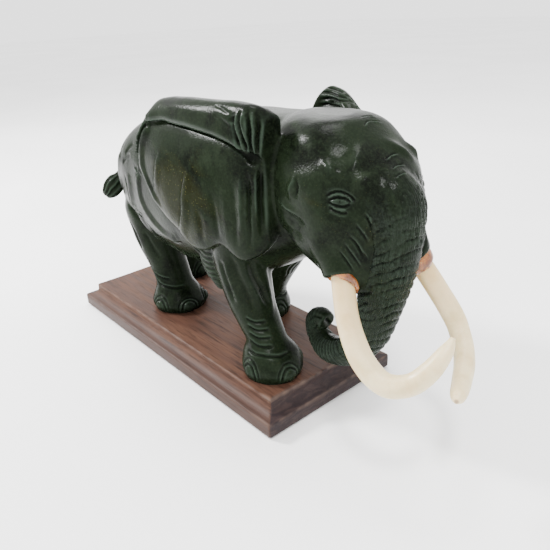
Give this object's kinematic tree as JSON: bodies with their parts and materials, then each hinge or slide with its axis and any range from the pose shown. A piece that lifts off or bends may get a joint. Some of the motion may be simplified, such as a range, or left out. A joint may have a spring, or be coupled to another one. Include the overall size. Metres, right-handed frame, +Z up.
{
  "type": "carved stone elephant figurine",
  "caption": "Walking elephant carved from dark green stone, with long curved ivory-coloured tusks, on a moulded hardwood plinth.",
  "frame": {"origin": "centre of the plinth's underside, where the felt rests on the table", "axes": "+X towards the elephant's head end, +Y towards the elephant's left side, +Z up"},
  "size_m": [0.3439, 0.112, 0.1895],
  "materials": {
    "stone": "polished mottled green stone",
    "tusk": "satin ivory-coloured resin",
    "glue": "glossy amber glue",
    "hardwood": "waxed reddish-brown hardwood",
    "felt": "green felt",
    "steel": "zinc-plated steel"
  },
  "bodies": {
    "root": {"elephant": "stone", "tusk_right": "tusk", "tusk_left": "tusk", "tusk_glue_right": "glue", "tusk_glue_left": "glue", "plinth": "hardwood", "baize": "felt", "stud_front_right": "steel", "stud_front_left": "steel", "stud_hind_right": "steel", "stud_hind_left": "steel", "washer_front_right": "steel", "washer_front_left": "steel", "washer_hind_right": "steel", "washer_hind_left": "steel", "nut_front_right": "steel", "nut_front_left": "steel", "nut_hind_right": "steel", "nut_hind_left": "steel"}
  },
  "joints": []
}
